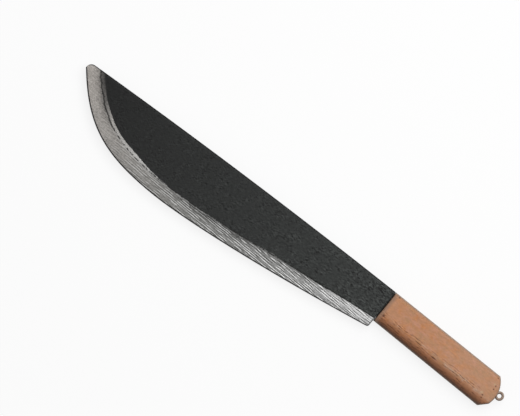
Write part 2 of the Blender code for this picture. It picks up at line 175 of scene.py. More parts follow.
class Socket:  # a node's output that Python sums can use
    def __init__(self, bench, out):
        self.bench = bench
        self.out = out

    def math(self, operation, first, second):
        return self.bench.node("ShaderNodeMath", {"operation": operation}, {0: first, 1: second})

    def __add__(self, other):
        return self.math("ADD", self, other)

    def __radd__(self, other):
        return self.math("ADD", other, self)

    def __sub__(self, other):
        return self.math("SUBTRACT", self, other)

    def __rsub__(self, other):
        return self.math("SUBTRACT", other, self)

    def __mul__(self, other):
        return self.math("MULTIPLY", self, other)

    def __rmul__(self, other):
        return self.math("MULTIPLY", other, self)

    def __truediv__(self, other):
        return self.math("DIVIDE", self, other)

    def most(self, other):
        return self.math("MAXIMUM", self, other)


class Bench:  # one node tree and the ways to add to it
    def __init__(self, tree, looks):
        self.tree = tree
        self.looks = looks
        tree.nodes.clear()

    def node(self, kind, settings, sockets, out=0):
        made = self.tree.nodes.new(kind)
        for key, value in settings.items():
            if key == "stops":
                self.setStops(made.color_ramp, value)
            else:
                setattr(made, key, value)
        for key, value in sockets.items():
            if isinstance(value, Socket):
                self.tree.links.new(value.out, made.inputs[key])
            else:
                made.inputs[key].default_value = value
        return Socket(self, made.outputs[out]) if made.outputs else made

    def setStops(self, ramp, stops):
        while len(ramp.elements) < len(stops):
            ramp.elements.new(1)
        for element, (place, colour) in zip(ramp.elements, stops):
            element.position = place
            element.color = (*colour, 1)

    def place(self):  # metres in the object's own frame
        return self.node("ShaderNodeTexCoord", {}, {}, "Object")

    def guide(self):  # the three values that the mesh keeps at each point
        return self.node("ShaderNodeAttribute", {"attribute_name": "guide"}, {}, "Vector")

    def part(self, vector, axis):
        return self.node("ShaderNodeSeparateXYZ", {}, {0: vector}, axis)

    def span(self, value, low, high, soft=True):  # 0 below low, 1 above high
        ease = "SMOOTHSTEP" if soft else "LINEAR"
        limits = {"Value": value, "From Min": low, "From Max": high}
        return self.node("ShaderNodeMapRange", {"interpolation_type": ease}, limits)

    def spans(self, value, limits):
        return {key: self.span(value, low, high) for key, (low, high) in limits.items()}

    def limit(self, value, key):  # 0 to 1 between the limits of that name
        return self.span(value, *self.looks["limits"][key])

    def pattern(self, place, turn, size, detail, roughness=0.5):  # size is one unit along each axis
        laid = {"Vector": place, "Rotation": (0, 0, math.radians(turn)), "Scale": size}
        spot = self.node("ShaderNodeMapping", {"vector_type": "TEXTURE"}, laid)
        sockets = {"Vector": spot, "Scale": 1, "Detail": detail, "Roughness": roughness}
        return self.node("ShaderNodeTexNoise", {}, sockets)

    def patterns(self, place):
        return {key: self.pattern(place, *look) for key, look in self.looks["patterns"].items()}

    def amount(self, key, *masks):  # the first number everywhere, each other where its mask is
        total, *extras = self.looks["amounts"][key]
        for extra, mask in zip(extras, masks):
            total = total + extra * mask
        return total

    def mix(self, share, first, second, blend="MIX"):
        colours = [(*c, 1) if isinstance(c, tuple) else c for c in (first, second)]
        settings = {"data_type": "RGBA", "blend_type": blend, "clamp_factor": True}
        return self.node("ShaderNodeMix", settings, {0: share, 6: colours[0], 7: colours[1]}, 2)

    def ramp(self, value, stops):
        return self.node("ShaderNodeValToRGB", {"stops": stops}, {0: value})

    def level(self, value, stops):  # a number that changes from stop to stop
        return self.ramp(value, [(place, (height, height, height)) for place, height in stops])

    def shade(self, colour, share):  # colour times a number
        grey = self.node("ShaderNodeCombineColor", {}, {0: share, 1: share, 2: share})
        return self.mix(1.0, colour, grey, "MULTIPLY")


def newPaint(name, looks):
    paint = bpy.data.materials.new(name)
    paint.use_nodes = True
    return paint, Bench(paint.node_tree, looks)


def finishPaint(bench, relief, sockets):
    looks = bench.looks
    bump = {"Strength": looks["bumpStrength"], "Distance": looks["bumpDepth"], "Height": relief}
    sockets["Normal"] = bench.node("ShaderNodeBump", {}, bump)
    sockets["Specular IOR Level"] = looks["specular"]
    shader = bench.node("ShaderNodeBsdfPrincipled", {}, sockets)
    bench.node("ShaderNodeOutputMaterial", {}, {"Surface": shader})


# camera, floor and light

view = {
    "photoSize": (520, 416),
    "metresPerPixel": 0.00101333,
    "axisTilt": 39.0,  # handle's axis below the horizontal, in degrees
    "junctionPixel": (384.3, 306.2),  # where the handle's axis meets the blade's end
    "lens": 250,
    "sensor": 36,
}


def makeCamera():
    tilt = math.radians(view["axisTilt"])
    right = Vector((math.cos(tilt), math.sin(tilt), 0))
    up = Vector((-math.sin(tilt), math.cos(tilt), 0))
    width, height = view["photoSize"]
    metres = view["metresPerPixel"]
    column, row = view["junctionPixel"]
    middle = Vector((heelX, axisY, partZ)) + right * (width / 2 - column) * metres
    middle += up * (row - height / 2) * metres
    data = bpy.data.cameras.new("camera")
    data.lens = view["lens"]
    data.sensor_width = view["sensor"]
    camera = bpy.data.objects.new("camera", data)
    camera.location = middle + Vector((0, 0, width * metres * view["lens"] / view["sensor"]))
    camera.rotation_euler = (0, 0, tilt)
    scene.collection.objects.link(camera)
    scene.camera = camera
    print("camera", [round(c, 4) for c in camera.location])


studio = {
    "lamps": {  # power, size, place
        "key": (29, 1.5, (0.15, 0.75, 1.6)),
        "fill": (3, 2.0, (-0.9, -0.9, 1.6)),
    },
    "ambient": 0.28,
    "whiteRays": ("Is Camera Ray", "Is Glossy Ray", "Is Transmission Ray"),
    "floorSize": 12,
    "floorColour": (0.86, 0.86, 0.86),
    "shadowShare": 0.17,  # how much of the floor's own shading the camera sees
}


def makeLamp(name, power, size, place):
    data = bpy.data.lights.new(name, "AREA")
    data.energy = power
    data.size = size
    lamp = bpy.data.objects.new(name, data)
    lamp.location = place
    lamp.rotation_euler = (-Vector(place)).to_track_quat("-Z", "Y").to_euler()
    scene.collection.objects.link(lamp)


def makeSky():
    scene.world = bpy.data.worlds.new("studio")
    scene.world.use_nodes = True
    bench = Bench(scene.world.node_tree, studio)
    rays = [bench.node("ShaderNodeLightPath", {}, {}, kind) for kind in studio["whiteRays"]]
    seen = rays[0].most(rays[1]).most(rays[2])
    strength = studio["ambient"] + (1 - studio["ambient"]) * seen
    sky = bench.node("ShaderNodeBackground", {}, {"Color": (1, 1, 1, 1), "Strength": strength})
    bench.node("ShaderNodeOutputWorld", {}, {"Surface": sky})


def makeFloor():
    bm = bmesh.new()
    bmesh.ops.create_grid(bm, x_segments=1, y_segments=1, size=studio["floorSize"] / 2)
    bmesh.ops.translate(bm, verts=bm.verts, vec=(0, 0, -seam["halfGap"]))
    mesh = bpy.data.meshes.new("floor")
    bm.to_mesh(mesh)
    bm.free()
    floor = bpy.data.objects.new("floor", mesh)
    scene.collection.objects.link(floor)
    paint, bench = newPaint("floor", studio)
    matte = bench.node("ShaderNodeBsdfDiffuse", {}, {"Color": (*studio["floorColour"], 1)})
    white = bench.node("ShaderNodeEmission", {}, {"Color": (1, 1, 1, 1), "Strength": 1})
    camera = bench.node("ShaderNodeLightPath", {}, {}, "Is Camera Ray")
    share = camera * (1 - studio["shadowShare"])
    both = bench.node("ShaderNodeMixShader", {}, {0: share, 1: matte, 2: white})
    bench.node("ShaderNodeOutputMaterial", {}, {"Surface": both})
    mesh.materials.append(paint)


makeCamera()
for lampName, lampLooks in studio["lamps"].items():
    makeLamp(lampName, *lampLooks)
makeSky()
makeFloor()
print("studio ready")


# blade halves

blade = {
    "tipRound": 0.006,
    "heelRound": 0.002,
    "bevelWidth": 0.0156,
    "bevelAtHeel": 0.0108,
    "bevelRunout": 0.110,  # length over which the bevel narrows to the heel
    "shoulderRound": 0.0009,
    "creaseStep": 0.00035,  # the face stands proud of the bevel by this much
    "creaseWidth": 0.0006,
    "creaseMost": 1 / 4,  # most of a narrow bevel that the step takes up
    "narrowShare": 1 / 6,  # rim, shoulder and bevel at the tip, as shares of the width left
    "tipColumns": 14,
    "heelColumns": 8,
    "columnStep": 0.0008,
    "slopeStep": 0.0001,  # half the length over which the edge's slope is taken
    "rows": {"rim": 2, "shoulder": 6, "face": 56, "crease": 4, "bevel": 62},
    "lines": {
        "length": 0.04,
        "pitch": 0.0023,
        "sway": 0.7,
        "breaks": 4,
        "steady": 0.95,
        "finer": 1.3,  # waves of the second set to each of the first
        "second": 0.9,  # strength of the second set
    },
    "lineTilt": 0.5,  # degrees, towards the cutting edge on the way to the handle
    "lineDepth": 0.00016,
    "lineSeed": 7,
    "lineStart": 0.03,  # from the tip, where the lines begin
    "lineFull": 0.06,  # from the blade's end, where they are at full depth
    "lineRunout": (0.88, 0.96),  # shares of the bevel between which they end
    "rippleStart": (1.05, 1.2),  # the same, where the face's ripple sets in
    "rippleDepth": 0.00008,
    "rippleSize": (0.006, 0.004),
    "rippleSeed": 3,
    "sharpAngle": 40,
}


def readRim():  # spine and cutting edge of the solid, at each of its stations
    level = partZ + seam["rimHeight"]
    last = heelX - blade["heelRound"] + seam["tolerance"]
    stations = {}
    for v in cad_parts["blade_shell_front"].data.vertices:
        if abs(v.co.z - level) < seam["tolerance"] and v.co.x < last:
            stations.setdefault(round(v.co.x, 5), []).append(v.co.y)
    xs = np.array(sorted(stations))
    return xs, np.array([max(stations[x]) for x in xs]), np.array([min(stations[x]) for x in xs])


rimX, rimTop, rimLow = readRim()
straight = (rimX > tipX + 1.5 * blade["tipRound"]) & (rimTop > axisY)  # clear of the tip's round
spineCurve = np.polyfit(rimX[straight], rimTop[straight], 2)
edgeCurve = smoothLine(rimX, rimLow)


def spineAt(x):
    return np.polyval(spineCurve, x) - roundFall(blade["tipRound"], tipX + blade["tipRound"] - x)


def edgeAt(x):
    corner = roundFall(blade["heelRound"], x - heelX + blade["heelRound"])
    return edgeCurve(np.minimum(x, heelX)) + corner


def bladeColumns():  # close together round the tip and round the heel's corner
    near = tipX + blade["tipRound"] * (1 - np.cos(np.linspace(0, math.pi / 2, blade["tipColumns"])))
    far = heelX - blade["heelRound"] * (1 - np.sin(np.linspace(0, math.pi / 2, blade["heelColumns"])))
    count = round((far[0] - near[-1]) / blade["columnStep"])
    return np.concatenate([near, np.linspace(near[-1], far[0], count)[1:-1], far])


def bladeSections(xs):  # across each column: place, height, share of the bevel, rim
    rows = blade["rows"]
    top = spineAt(xs)
    low = edgeAt(xs)
    least = (top - low) * blade["narrowShare"]
    smooth = np.minimum(xs, heelX - blade["heelRound"])
    step = blade["slopeStep"]
    stretch = np.hypot(1, (edgeCurve(smooth + step) - edgeCurve(smooth - step)) / (2 * step))
    short = np.clip(1 + (xs - heelX) / blade["bevelRunout"], 0, 1)
    bevel = blade["bevelWidth"] - (blade["bevelWidth"] - blade["bevelAtHeel"]) * short**2
    spineRim = top - np.minimum(seam["rimWidth"], least)
    edgeRim = low + np.minimum(seam["rimWidth"] * stretch, least)
    shoulder = spineRim - np.minimum(blade["shoulderRound"], least)
    fullCrease = low + bevel * stretch
    crease = np.minimum(fullCrease, shoulder - least)
    rise = np.minimum((crease - edgeRim) / (fullCrease - edgeRim), 1)
    height = seam["rimHeight"] + (seam["halfBlade"] - seam["rimHeight"]) * rise
    mostStep = (crease - edgeRim) * blade["creaseMost"]
    foot = crease - np.minimum(blade["creaseWidth"] * stretch, mostStep)
    drop = height - blade["creaseStep"] * rise
    ys, zs, rims = [], [], []

    def strip(start, end, fromZ, toZ, count, rim, curved=False):
        for t in np.linspace(0, 1, count, endpoint=False):
            turn = t * math.pi / 2
            across, up = (1 - math.cos(turn), math.sin(turn)) if curved else (t, t)
            ys.append(start + (end - start) * across)
            zs.append(fromZ + (toZ - fromZ) * up)
            rims.append(rim)

    flat = np.full_like(xs, seam["rimHeight"])
    strip(top, spineRim, flat, flat, rows["rim"], 1)
    strip(spineRim, shoulder, flat, height, rows["shoulder"], 0.5, True)
    strip(shoulder, crease, height, height, rows["face"], 0)
    strip(crease, foot, height, drop, rows["crease"], 0)
    strip(foot, edgeRim, drop, flat, rows["bevel"], 0)
    strip(edgeRim, low, flat, flat, rows["rim"], 1)
    ys.append(low)
    zs.append(flat)
    rims.append(1)
    ys = np.array(ys).T
    share = (ys - low[:, None]) / (bevel * stretch)[:, None]
    return ys, np.array(zs).T, share, rims


def bladeLines(x, y, seed):  # 1 in a groove of the bevel's lines, 0 on the ridges
    tilt = math.radians(blade["lineTilt"])
    along = x * math.cos(tilt) - y * math.sin(tilt)
    across = x * math.sin(tilt) + y * math.cos(tilt)
    return 0.5 - 0.5 * grain(along, across, seed, blade["lines"])


def faceRipple(x, y, seed):  # slow waves of the face, from -1 to 1
    long, wide = blade["rippleSize"]
    return noise.noise(Vector((x / long, y / wide, seed)))


def makeBladeHalf(name, node, side, paint):
    xs = bladeColumns()
    ys, zs, shares, rims = bladeSections(xs)
    bm, guide, spots = gridOf(len(xs), len(rims))  # guide holds share of the bevel, groove, rim
    strength = smoothStep(xs, tipX + blade["lineStart"], heelX - blade["lineFull"])
    for v, (i, j) in spots.items():
        x, y = float(xs[i]), float(ys[i, j])
        share = float(shares[i, j])
        groove = bladeLines(x, y, blade["lineSeed"] * side)
        inBevel = 0 if rims[j] else 1 - float(smoothStep(share, *blade["lineRunout"]))
        inFace = 0 if rims[j] else float(smoothStep(share, *blade["rippleStart"]))
        fall = blade["lineDepth"] * groove * inBevel * float(strength[i])
        fall += blade["rippleDepth"] * inFace * faceRipple(x, y, blade["rippleSeed"] * side)
        v.co = (x, y, partZ + side * (float(zs[i, j]) - fall))
        v[guide] = (share, groove * inBevel, rims[j])
    closeDown(bm, partZ + side * seam["halfGap"])
    addTang(bm, side)
    finishPiece(name, bm, paint, node, blade["sharpAngle"])


# tang between the scales, which shows as a thin rim round the handle

handle = {
    "frontWidth": 0.0366,
    "buttWidth": 0.0375,
    "buttCrown": 0.0095,
    "buttOffset": 0.0018,  # middle of the butt's arc, from the axis towards the cutting edge
    "buttCorner": 0.0105,  # end of the butt's chamfer, from the axis
    "notchHalf": 0.00385,  # gap in the tang for the eye's stem
    "notchDepth": 0.012,
    "tangBevel": 0.0003,
    "bevelSteps": 2,
    "arcSteps": 40,
}
buttStart = buttX - handle["buttCrown"]
buttRise = handle["buttWidth"] / 2 + handle["buttOffset"]
buttRadius = (buttRise**2 + handle["buttCrown"] ** 2) / (2 * handle["buttCrown"])
buttCentre = buttX - buttRadius
cornerTurn = math.asin((handle["buttCorner"] - handle["buttOffset"]) / buttRadius)
cornerX = buttCentre + buttRadius * math.cos(cornerTurn)
chamferSlope = (handle["buttWidth"] / 2 - handle["buttCorner"]) / (cornerX - buttStart)
chamferStretch = math.hypot(1, chamferSlope)


def handleSide(x, inset):  # straight sides, drawn in
    share = (x - heelX) / (buttStart - heelX)
    return (handle["frontWidth"] + (handle["buttWidth"] - handle["frontWidth"]) * share) / 2 - inset


def chamferSide(x, inset):
    return handle["buttWidth"] / 2 - chamferSlope * (x - buttStart) - chamferStretch * inset


def handleLimits(x, inset):  # outline on the spine side and on the edge side, drawn in
    past = np.clip(x - buttCentre, 0, buttRadius - inset)
    arc = np.sqrt((buttRadius - inset) ** 2 - past**2)
    side = handleSide(x, inset)
    low = np.minimum(np.minimum(side, arc + handle["buttOffset"]), chamferSide(x, inset))
    return np.minimum(side, arc - handle["buttOffset"]), -low


def buttDepth(x, y, inset):  # how far a point lies inside the butt's outline
    past = np.clip(x - buttCentre, 0, None)
    arc = buttRadius - inset - np.hypot(past, y + handle["buttOffset"])
    return np.minimum(arc, (chamferSide(x, inset) + y) / chamferStretch)


def tangOutline():  # from the spine side round the butt, with a notch for the eye's stem
    front = heelX + seam["shoulderGap"] / 2
    half = handleSide(front, 0)
    offset = handle["buttOffset"]
    outline = [(front, half)]
    for turn in np.linspace(math.asin(buttRise / buttRadius), -cornerTurn, handle["arcSteps"]):
        y = buttRadius * math.sin(turn) - offset
        if abs(axisY + y - eyeY) > handle["notchHalf"]:
            outline.append((buttCentre + buttRadius * math.cos(turn), y))
    outline.append((buttStart, -handle["buttWidth"] / 2))
    outline.append((front, -half))
    notch = [(buttX - handle["notchDepth"], eyeY - axisY + s * handle["notchHalf"]) for s in (1, -1)]
    mouth = [(buttCentre + math.sqrt(buttRadius**2 - (y + offset) ** 2), y) for _, y in notch]
    after = next(k for k, (x, y) in enumerate(outline[1:], 1) if y < notch[1][1])
    outline[after:after] = [mouth[0], notch[0], notch[1], mouth[1]]
    return [(x, axisY + y) for x, y in outline]


def addTang(bm, side):
    height = side * (seam["rimHeight"] - seam["halfGap"])
    _, raised = raisePlate(bm, tangOutline(), partZ + side * seam["halfGap"], height)
    edges = [g for g in raised if isinstance(g, bmesh.types.BMEdge)]
    roundEdges(bm, edges, handle["tangBevel"], handle["bevelSteps"])


bladePaint = {
    "tipBlack": srgb(20, 20, 20),
    "heelBlack": srgb(49, 51, 50),
    "rim": srgb(28, 27, 26),
    # painted shade in the gap before the scales
    "gap": srgb(50, 41, 34),
    "taupe": srgb(156, 136, 121),
    # painted shade in the crease under the face's step
    "crease": srgb(30, 29, 28),
    "grooveDark": srgb(58, 57, 55),
    "ridgeLight": srgb(232, 232, 231),
    # the next four change from the tip, 0, to the blade's end, 1
    "silver": (
        (0.0, srgb(153, 148, 143)),
        (0.28, srgb(133, 131, 128)),
        (0.5, srgb(117, 117, 115)),
        (0.78, srgb(136, 136, 135)),
        (1.0, srgb(195, 195, 195)),
    ),
    # the next two are painted shade on the bevel, by the crease and by the cutting edge
    "creaseShade": (
        (0.05, 0.42), (0.1, 0.55), (0.15, 0.12), (0.28, 0.0), (0.38, 0.46), (0.48, 0.92),
        (0.6, 0.62), (0.69, 0.24), (0.75, 0.46), (0.8, 0.5), (0.88, 0.0),
    ),
    "edgeShade": ((0.1, 0.0), (0.26, 0.2), (0.45, 0.0), (0.78, 0.06), (0.92, 0.42), (1.0, 0.36)),
    "border": (  # how far the silver goes past the least border
        (0.13, 0.36), (0.18, 0.3), (0.25, 0.34), (0.29, 0.21), (0.4, 0.1),
        (0.6, 0.09), (0.69, 0.17), (0.78, 0.04), (0.86, 0.015), (0.96, 0.085),
    ),
    "leastBorder": 0.9,  # as a share of the bevel, like the next
    "creaseLine": 1.01,  # place of the dark line
    "strokeTurns": (34, -26, 0),
    "strokeSize": (0.0036, 0.0008, 0.004),
    "strokeDetail": 2,
    "specular": 0.12,
    "bumpDepth": 0.0002,
    "bumpStrength": 0.6,
    "zones": {  # stretches from the tip, 0, to the blade's end, 1, over which things change
        "offTip": (0.08, 0.22),
        "heel": (0.3, 0.95),
        "lastStrokes": (0.84, 1.0),
        "lined": (0.1, 0.4),
        "plainBelly": (0.25, 0.35),
        "plainHeel": (0.48, 0.58),
        "crispBorder": (0.05, 0.12),
        "thinBorder": (0.06, 0.15),
        "chipped": (0.1, 0.18),
        "rimmed": (0.018, 0.03),
    },
    "bands": {  # the same across the bevel, from the cutting edge, 0, to the crease, 1
        "byCrease": (0.45, 0.98),
        "offEdge": (0.2, 0.5),
        "linesEnd": (0.84, 0.95),
        "pastCrease": (1.0, 1.04),
        "offRim": (0.08, 0.095),
        "tipRim": (0.9, 1.1),
    },
    "ends": {  # metres past the blade's end
        # painted shade on the blade's end, at the foot of the handle's step
        "dark": (-0.0016, -0.0006),
        # painted shade in the gap before the scales
        "gap": (0.0001, 0.0002),
        "tang": (0.0012, 0.0014),
    },
    "patterns": {  # turn in degrees, size in metres, detail
        "patches": (30, (0.016, 0.009, 0.016), 2),
        "cloud": (12, (0.017, 0.008, 0.017), 2),
        "mottle": (20, (0.0046, 0.003, 0.0046), 2),
        "specks": (0, (0.0018, 0.0011, 0.0018), 2),
        "streaks": (-blade["lineTilt"], (0.012, 0.0006, 0.012), 3),
        "dashes": (-blade["lineTilt"], (0.009, 0.00095, 0.009), 2),
        "ragged": (0, (0.005, 0.0012, 0.005), 3),
        "wobble": (45, (0.008, 0.005, 0.008), 2),
        "chips": (0, (0.003, 0.003, 0.003), 3),
        "grimeAndShade": (0, (0.006, 0.003, 0.003), 3),
        "pits": (0, (0.0007, 0.0007, 0.0007), 2),
    },
    "limits": {  # values between which something sets in
        "patches": (0.4, 0.65),
        "darkLines": (0.55, 0.88),
        "lightLines": (0.08, 0.4),
        "border": (-0.5, 0.5),
        "creaseLine": (0.015, 0.075),
        "chips": (0.42, 0.58),
        "rim": (0.6, 0.9),
        "shadedSide": (-0.012, 0.004),  # of the tang, metres from the axis
    },
    "amounts": {  # one everywhere, then what each mask adds
        "thirdStrokes": (0.4, 0.8),
        "strokes": (2.7, 0.6),
        "patches": (0.4, 0.8, 0.4),
        "cloud": (0.3, -0.18),
        "mottle": (0.5, -0.4),
        "darkLines": (0.12, 0.55, 0.3),
        "lightLines": (0.06, 0.36, 0.4),
        "softBorder": (0.03, 0.2),
        "ragged": (0.07, 0.09),
        "pastCrease": (0.2, 0.56),
        "creaseWidth": (1, 0.4),
        "endShade": (0.3, 0.5),
        "grimeAndShade": (0.85, 0.3),
        "shade": (0.66, 0.34),
        "rough": (0.6, 0.12, -0.12),
    },
    "weights": {
        "silver": 1.03,
        "specks": 1.3,
        "dashes": 0.8,
        "borderCloud": 0.14,
        "wobble": 0.3,
        "wholeCrease": 0.26,
        "crease": 0.9,
        "metal": 0.45,
        "strokeRelief": 0.8,
        "pitRelief": 0.25,
        "lineRelief": 0.6,
    },
}


def paintBlade(name, seed):
    paint, bench = newPaint(name, bladePaint)
    place = bench.place()
    x = bench.part(place, "X")
    guide = bench.guide()
    share = bench.part(guide, "X")
    groove = bench.part(guide, "Y")
    rim = bench.part(guide, "Z")
    along = bench.span(x, tipX, heelX, False)
    zone = bench.spans(along, bladePaint["zones"])
    band = bench.spans(share, bladePaint["bands"])
    ends = bench.spans(x, {key: [heelX + d for d in past] for key, past in bladePaint["ends"].items()})
    spot = bench.patterns(place)
    weights = bladePaint["weights"]
    heel = zone["heel"]
    lined = zone["lined"]
    tip = 1 - zone["offTip"]
    # charcoal face with short crossing strokes in patches
    strokes = [
        bench.pattern(place, turn + seed, bladePaint["strokeSize"], bladePaint["strokeDetail"])
        for turn in bladePaint["strokeTurns"]
    ]
    third = (strokes[2] - 0.5) * bench.amount("thirdStrokes", heel)
    hatch = strokes[0] + strokes[1] + third - 1
    patches = bench.limit(spot["patches"], "patches")
    charcoal = bench.mix(along, bladePaint["tipBlack"], bladePaint["heelBlack"])
    strength = bench.amount("strokes", along) * bench.amount("patches", patches, zone["lastStrokes"])
    charcoal = bench.shade(charcoal, 1 + hatch * strength)
    # silver bevel, uneven, with painted shade towards the crease and towards the cutting edge, and
    # dark and light grain lines
    silver = bench.ramp(along, bladePaint["silver"])
    bevelShade = band["byCrease"] * bench.level(along, bladePaint["creaseShade"])
    bevelShade = bevelShade + (1 - band["offEdge"]) * bench.level(along, bladePaint["edgeShade"])
    cloud = spot["cloud"] - 0.5
    uneven = cloud * bench.amount("cloud", lined)
    uneven = uneven + (spot["mottle"] - 0.5) * bench.amount("mottle", lined)
    uneven = uneven + (spot["specks"] - 0.5) * weights["specks"]
    silver = bench.shade(silver, weights["silver"] - bevelShade + uneven)
    streaks = spot["streaks"] - 0.5
    lines = groove + streaks + (0.5 - spot["dashes"]) * weights["dashes"]
    darker = bench.limit(lines, "darkLines") * bench.amount("darkLines", lined, heel)
    lighter = (1 - bench.limit(lines, "lightLines")) * bench.amount("lightLines", lined, heel)
    plain = 0.5 * zone["plainBelly"] + 0.5 * zone["plainHeel"]
    lighter = lighter * (1 - plain * band["linesEnd"])
    silver = bench.mix(darker, silver, bladePaint["grooveDark"])
    silver = bench.mix(lighter, silver, bladePaint["ridgeLight"])
    # paint border, past the crease at the tip and on it further along
    border = bladePaint["leastBorder"] + bench.level(along, bladePaint["border"])
    border = border - cloud * weights["borderCloud"] * lined
    soft = bench.amount("softBorder", 1 - zone["crispBorder"])
    reach = share + (spot["ragged"] - 0.5) * bench.amount("ragged", lined)
    silvered = 1 - bench.limit((reach - border) / soft, "border")
    past = band["pastCrease"] * bench.amount("pastCrease", 1 - zone["thinBorder"])
    colour = bench.mix(silvered * (1 - past), charcoal, silver)
    # dark line of painted shade in the crease below the face's step, chipped near the tip
    off = share + (spot["wobble"] - 0.5) * weights["wobble"] * tip - bladePaint["creaseLine"]
    off = off.most(0 - off) / bench.amount("creaseWidth", tip)
    whole = spot["chips"] + weights["wholeCrease"] * (1 - zone["chipped"])
    crease = (1 - bench.limit(off, "creaseLine")) * bench.limit(whole, "chips")
    colour = bench.mix(crease * weights["crease"], colour, bladePaint["crease"])
    # dark rim, bare where the tip is silvered over, and painted shade across the blade's end before
    # the handle
    bareTip = (1 - zone["rimmed"]) * band["tipRim"]
    edged = bench.limit(rim, "rim").most(1 - band["offRim"])
    end = ends["dark"] * bench.amount("endShade", silvered)
    dark = (edged * (1 - bareTip)).most(end)
    colour = bench.mix(dark, colour, bladePaint["rim"])
    # bare plastic where the tang shows round the handle, with painted shade in the gap before it and
    # on the tang's lower side
    colour = bench.mix(ends["gap"], colour, bladePaint["gap"])
    shaded = bench.limit(bench.part(place, "Y") - axisY, "shadedSide")
    # painted shade: the tang's rim darker on the lower side, over uneven grime
    worn = bench.amount("grimeAndShade", spot["grimeAndShade"]) * bench.amount("shade", shaded)
    colour = bench.mix(ends["tang"], colour, bench.shade(bladePaint["taupe"], worn))
    relief = hatch * weights["strokeRelief"] * (1 - silvered)
    relief = relief + (spot["pits"] - 0.5) * weights["pitRelief"]
    relief = relief + streaks * silvered * weights["lineRelief"]
    finishPaint(bench, relief, {
        "Base Color": colour,
        "Metallic": silvered * (1 - dark) * (1 - ends["gap"]) * weights["metal"],
        "Roughness": bench.amount("rough", hatch, silvered),
    })
    return paint


makeBladeHalf("blade_half_front", "blade_shell_front", 1, paintBlade("blade_front_paint", 0))
makeBladeHalf("blade_half_rear", "blade_shell_rear", -1, paintBlade("blade_rear_paint", 5))


# handle scales

scale = {
    "spineRound": 0.003,
    "spineMost": 1 / 4,  # most of the width that the round on the spine side takes up
    "gripWidth": 0.0125,
    "gripMost": 1 / 2,
    "gripHeight": 0.008,
    "buttRound": 0.002,
    "leastSide": 0.0008,
    "frontChamfer": 0.0012,
    "frontColumns": (0, 0.5, 1, 1.3, 1.7, 2.1, 2.5, 3, 3.5, 4, 4.5, 5, 5.5, 6),  # in chamfer widths
    "columnStep": 0.0009,
    "arcEnd": 0.03,  # turn from the butt's middle where its columns stop
    "rows": {"spine": 9, "flat": 42, "grip": 46},
    "grain": {
        "length": 0.026,
        "pitch": 0.003,
        "sway": 1.1,
        "breaks": 2.5,
        "steady": 0.7,
        "finer": 1.4,
        "second": 0,
    },
    "grainSeed": 11,
    "grainDepth": 0.00022,
    "grainCut": (0.3, 0.75),  # heights of the grain's waves between which a groove sets in
    "grainSide": (0.001, 0.006),  # from the axis towards the cutting edge, where the grain sets in
    "grainWrap": 0.4,  # how far the grain follows the round of the grip
    "grainEnd": 0.127,  # from the blade's end
    "grainFade": 0.009,
    "knots": (  # from the blade's end, from the axis, radius, tone with paler ones below 0
        (0.1380, 0.0079, 0.0012, 1),
        (0.1383, 0.0042, 0.0012, 1),
        (0.1328, -0.0072, 0.0014, 1),
        (0.1336, -0.0100, 0.0013, 0.8),
        (0.1346, -0.0132, 0.0012, 0.5),
        (0.1352, 0.0158, 0.0012, 1),
        (0.0064, 0.0166, 0.0014, 1),
        (0.0051, -0.0079, 0.0021, 1),
        (0.1362, 0.0088, 0.0017, -0.7),
        (0.1308, -0.0052, 0.0020, -0.8),
    ),
    "knotDepth": 0.0004,
    "screwXs": [
        (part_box("handle_screw_" + n)[0].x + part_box("handle_screw_" + n)[1].x) / 2
        for n in ("front", "middle", "butt")
    ],
    "recessRadius": 0.0032,
    "recessDepth": 0.004,
    "recessCatch": 1.02,  # points within this many radii make way for the pocket
    "faceReach": 0.001,  # points this close to the rear face belong to it
    "sharpAngle": 40,
}


def scaleColumns(inset):  # front chamfer, straight sides, then the butt's arc with its corner
    chamfer = scaleLow.x + np.array(scale["frontColumns"]) * scale["frontChamfer"]
    radius = buttRadius - inset
    corner = math.asin((buttRise - inset) / radius)
    arc = buttCentre + radius * np.cos(np.linspace(corner, scale["arcEnd"], handle["arcSteps"]))
    line = [Vector((x, -chamferSide(x, inset))) for x in (buttStart, cornerX)]
    middle = Vector((buttCentre, -handle["buttOffset"]))
    meets = geometry.intersect_line_sphere_2d(*line, middle, radius, False)
    start = buttStart - inset * (chamferStretch - 1) / chamferSlope
    count = round((start - chamfer[-1]) / scale["columnStep"])
    butt = np.sort(np.append(arc, max(point.x for point in meets)))
    return np.concatenate([chamfer, np.linspace(chamfer[-1], start, count)[1:], butt])


def gripInto(x, y, inset):  # how far a point lies into the large round on the edge side
    return np.clip(scale["gripWidth"] - handleSide(x, inset) - y, 0, scale["gripWidth"])


def faceHeight(x, y, inset):
    flatten = scale["gripHeight"] / scale["gripWidth"]
    face = roofHeight - flatten * roundFall(scale["gripWidth"], gripInto(x, y, inset))
    spine = roundFall(scale["spineRound"], scale["spineRound"] - handleSide(x, inset) + y)
    least = np.clip(face - seatHeight - scale["leastSide"], 0, scale["buttRound"])
    butt = roundFall(least, least - buttDepth(x, y, inset))
    chamfer = roofHeight - np.clip(scaleLow.x + scale["frontChamfer"] - x, 0, None)
    return np.minimum(face - np.maximum(spine, butt), chamfer)


def scaleSections(xs, inset):
    rows = scale["rows"]
    top, low = handleLimits(xs, inset)
    spineRun = np.minimum(scale["spineRound"], (top - low) * scale["spineMost"])
    gripRun = np.minimum(scale["gripWidth"], (top - low) * scale["gripMost"])
    ys = []
    for turn in np.linspace(0, math.pi / 2, rows["spine"], endpoint=False):
        ys.append(top - spineRun * (1 - math.cos(turn)))
    for t in np.linspace(0, 1, rows["flat"], endpoint=False):
        ys.append(top - spineRun + (low + gripRun - top + spineRun) * t)
    for turn in np.linspace(math.pi / 2, 0, rows["grip"]):
        ys.append(low + gripRun * (1 - math.cos(turn)))
    ys = np.array(ys).T
    return ys, faceHeight(xs[:, None], ys, inset)


